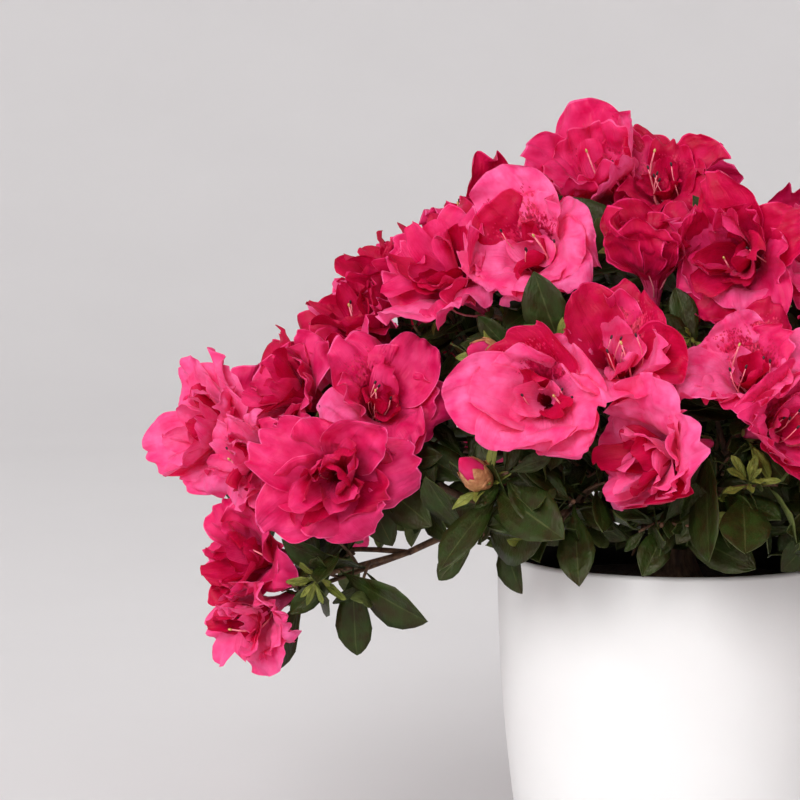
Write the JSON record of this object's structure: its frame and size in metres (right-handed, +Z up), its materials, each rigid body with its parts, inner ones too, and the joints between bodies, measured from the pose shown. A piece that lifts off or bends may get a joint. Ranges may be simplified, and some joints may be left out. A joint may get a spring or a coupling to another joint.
{
  "type": "potted azalea shrub",
  "caption": "Potted azalea shrub with a low, wide crown of double pink blooms over dark oval leaves, in a smooth white pot.",
  "frame": {"origin": "centre of the pot's flat underside", "axes": "+Z up, -Y towards the front of the plant, +X to the right as seen from the front"},
  "size_m": [0.3639, 0.3136, 0.3017],
  "materials": {
    "pot": "satin",
    "peat": "matte",
    "bark": "matte",
    "blossom": "satin",
    "leaf": "satin"
  },
  "bodies": {
    "root": {"pot": "pot", "soil": "peat", "trunk": "bark", "left_bough": "bark", "upper_left_bough": "bark", "front_left_bough": "bark", "front_bough": "bark", "top_bough": "bark", "right_front_bough": "bark", "right_bough": "bark", "right_back_bough": "bark", "back_bough": "bark", "back_left_bough": "bark", "left_low_spray": "blossom", "left_spray": "blossom", "left_shoulder": "blossom", "upper_left_mass": "blossom", "crown_top": "blossom", "upper_front_mass": "blossom", "front_middle_mass": "blossom", "front_bud_spray": "leaf", "front_low_mass": "blossom", "front_right_mass": "blossom", "upper_right_mass": "blossom", "right_front_spray": "blossom", "right_end_spray": "blossom", "right_shoulder": "blossom", "right_back_spray": "blossom", "upper_right_back_mass": "blossom", "back_right_spray": "blossom", "upper_back_mass": "blossom", "back_left_spray": "blossom", "upper_back_left_mass": "blossom", "left_back_spray": "blossom"}
  },
  "joints": []
}
